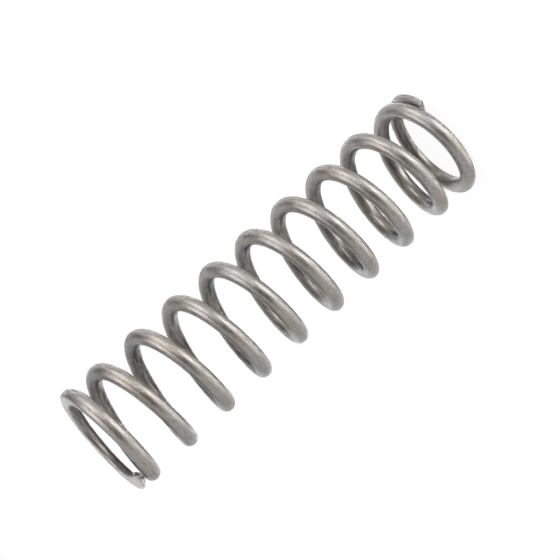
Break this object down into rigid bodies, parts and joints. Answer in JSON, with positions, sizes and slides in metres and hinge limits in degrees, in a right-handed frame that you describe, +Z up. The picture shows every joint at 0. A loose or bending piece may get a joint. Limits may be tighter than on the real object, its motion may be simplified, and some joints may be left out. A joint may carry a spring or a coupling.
{
  "type": "fork spring",
  "caption": "Front fork compression spring: a long right-hand coil of round steel wire with open active turns and closed, flat ground ends, which seats in a fork leg.",
  "frame": {"origin": "on the coil's axis, in the plane of the lower ground face", "axes": "+Z up the coil's axis, towards the upper ground face; +X through the lower tip of the wire"},
  "size_m": [0.027, 0.027, 0.1025],
  "materials": {
    "wire": "bare drawn and peened steel, satin, with fine streaks along the wire and bright ground ends"
  },
  "bodies": {
    "root": {"spring": "wire"}
  },
  "joints": []
}
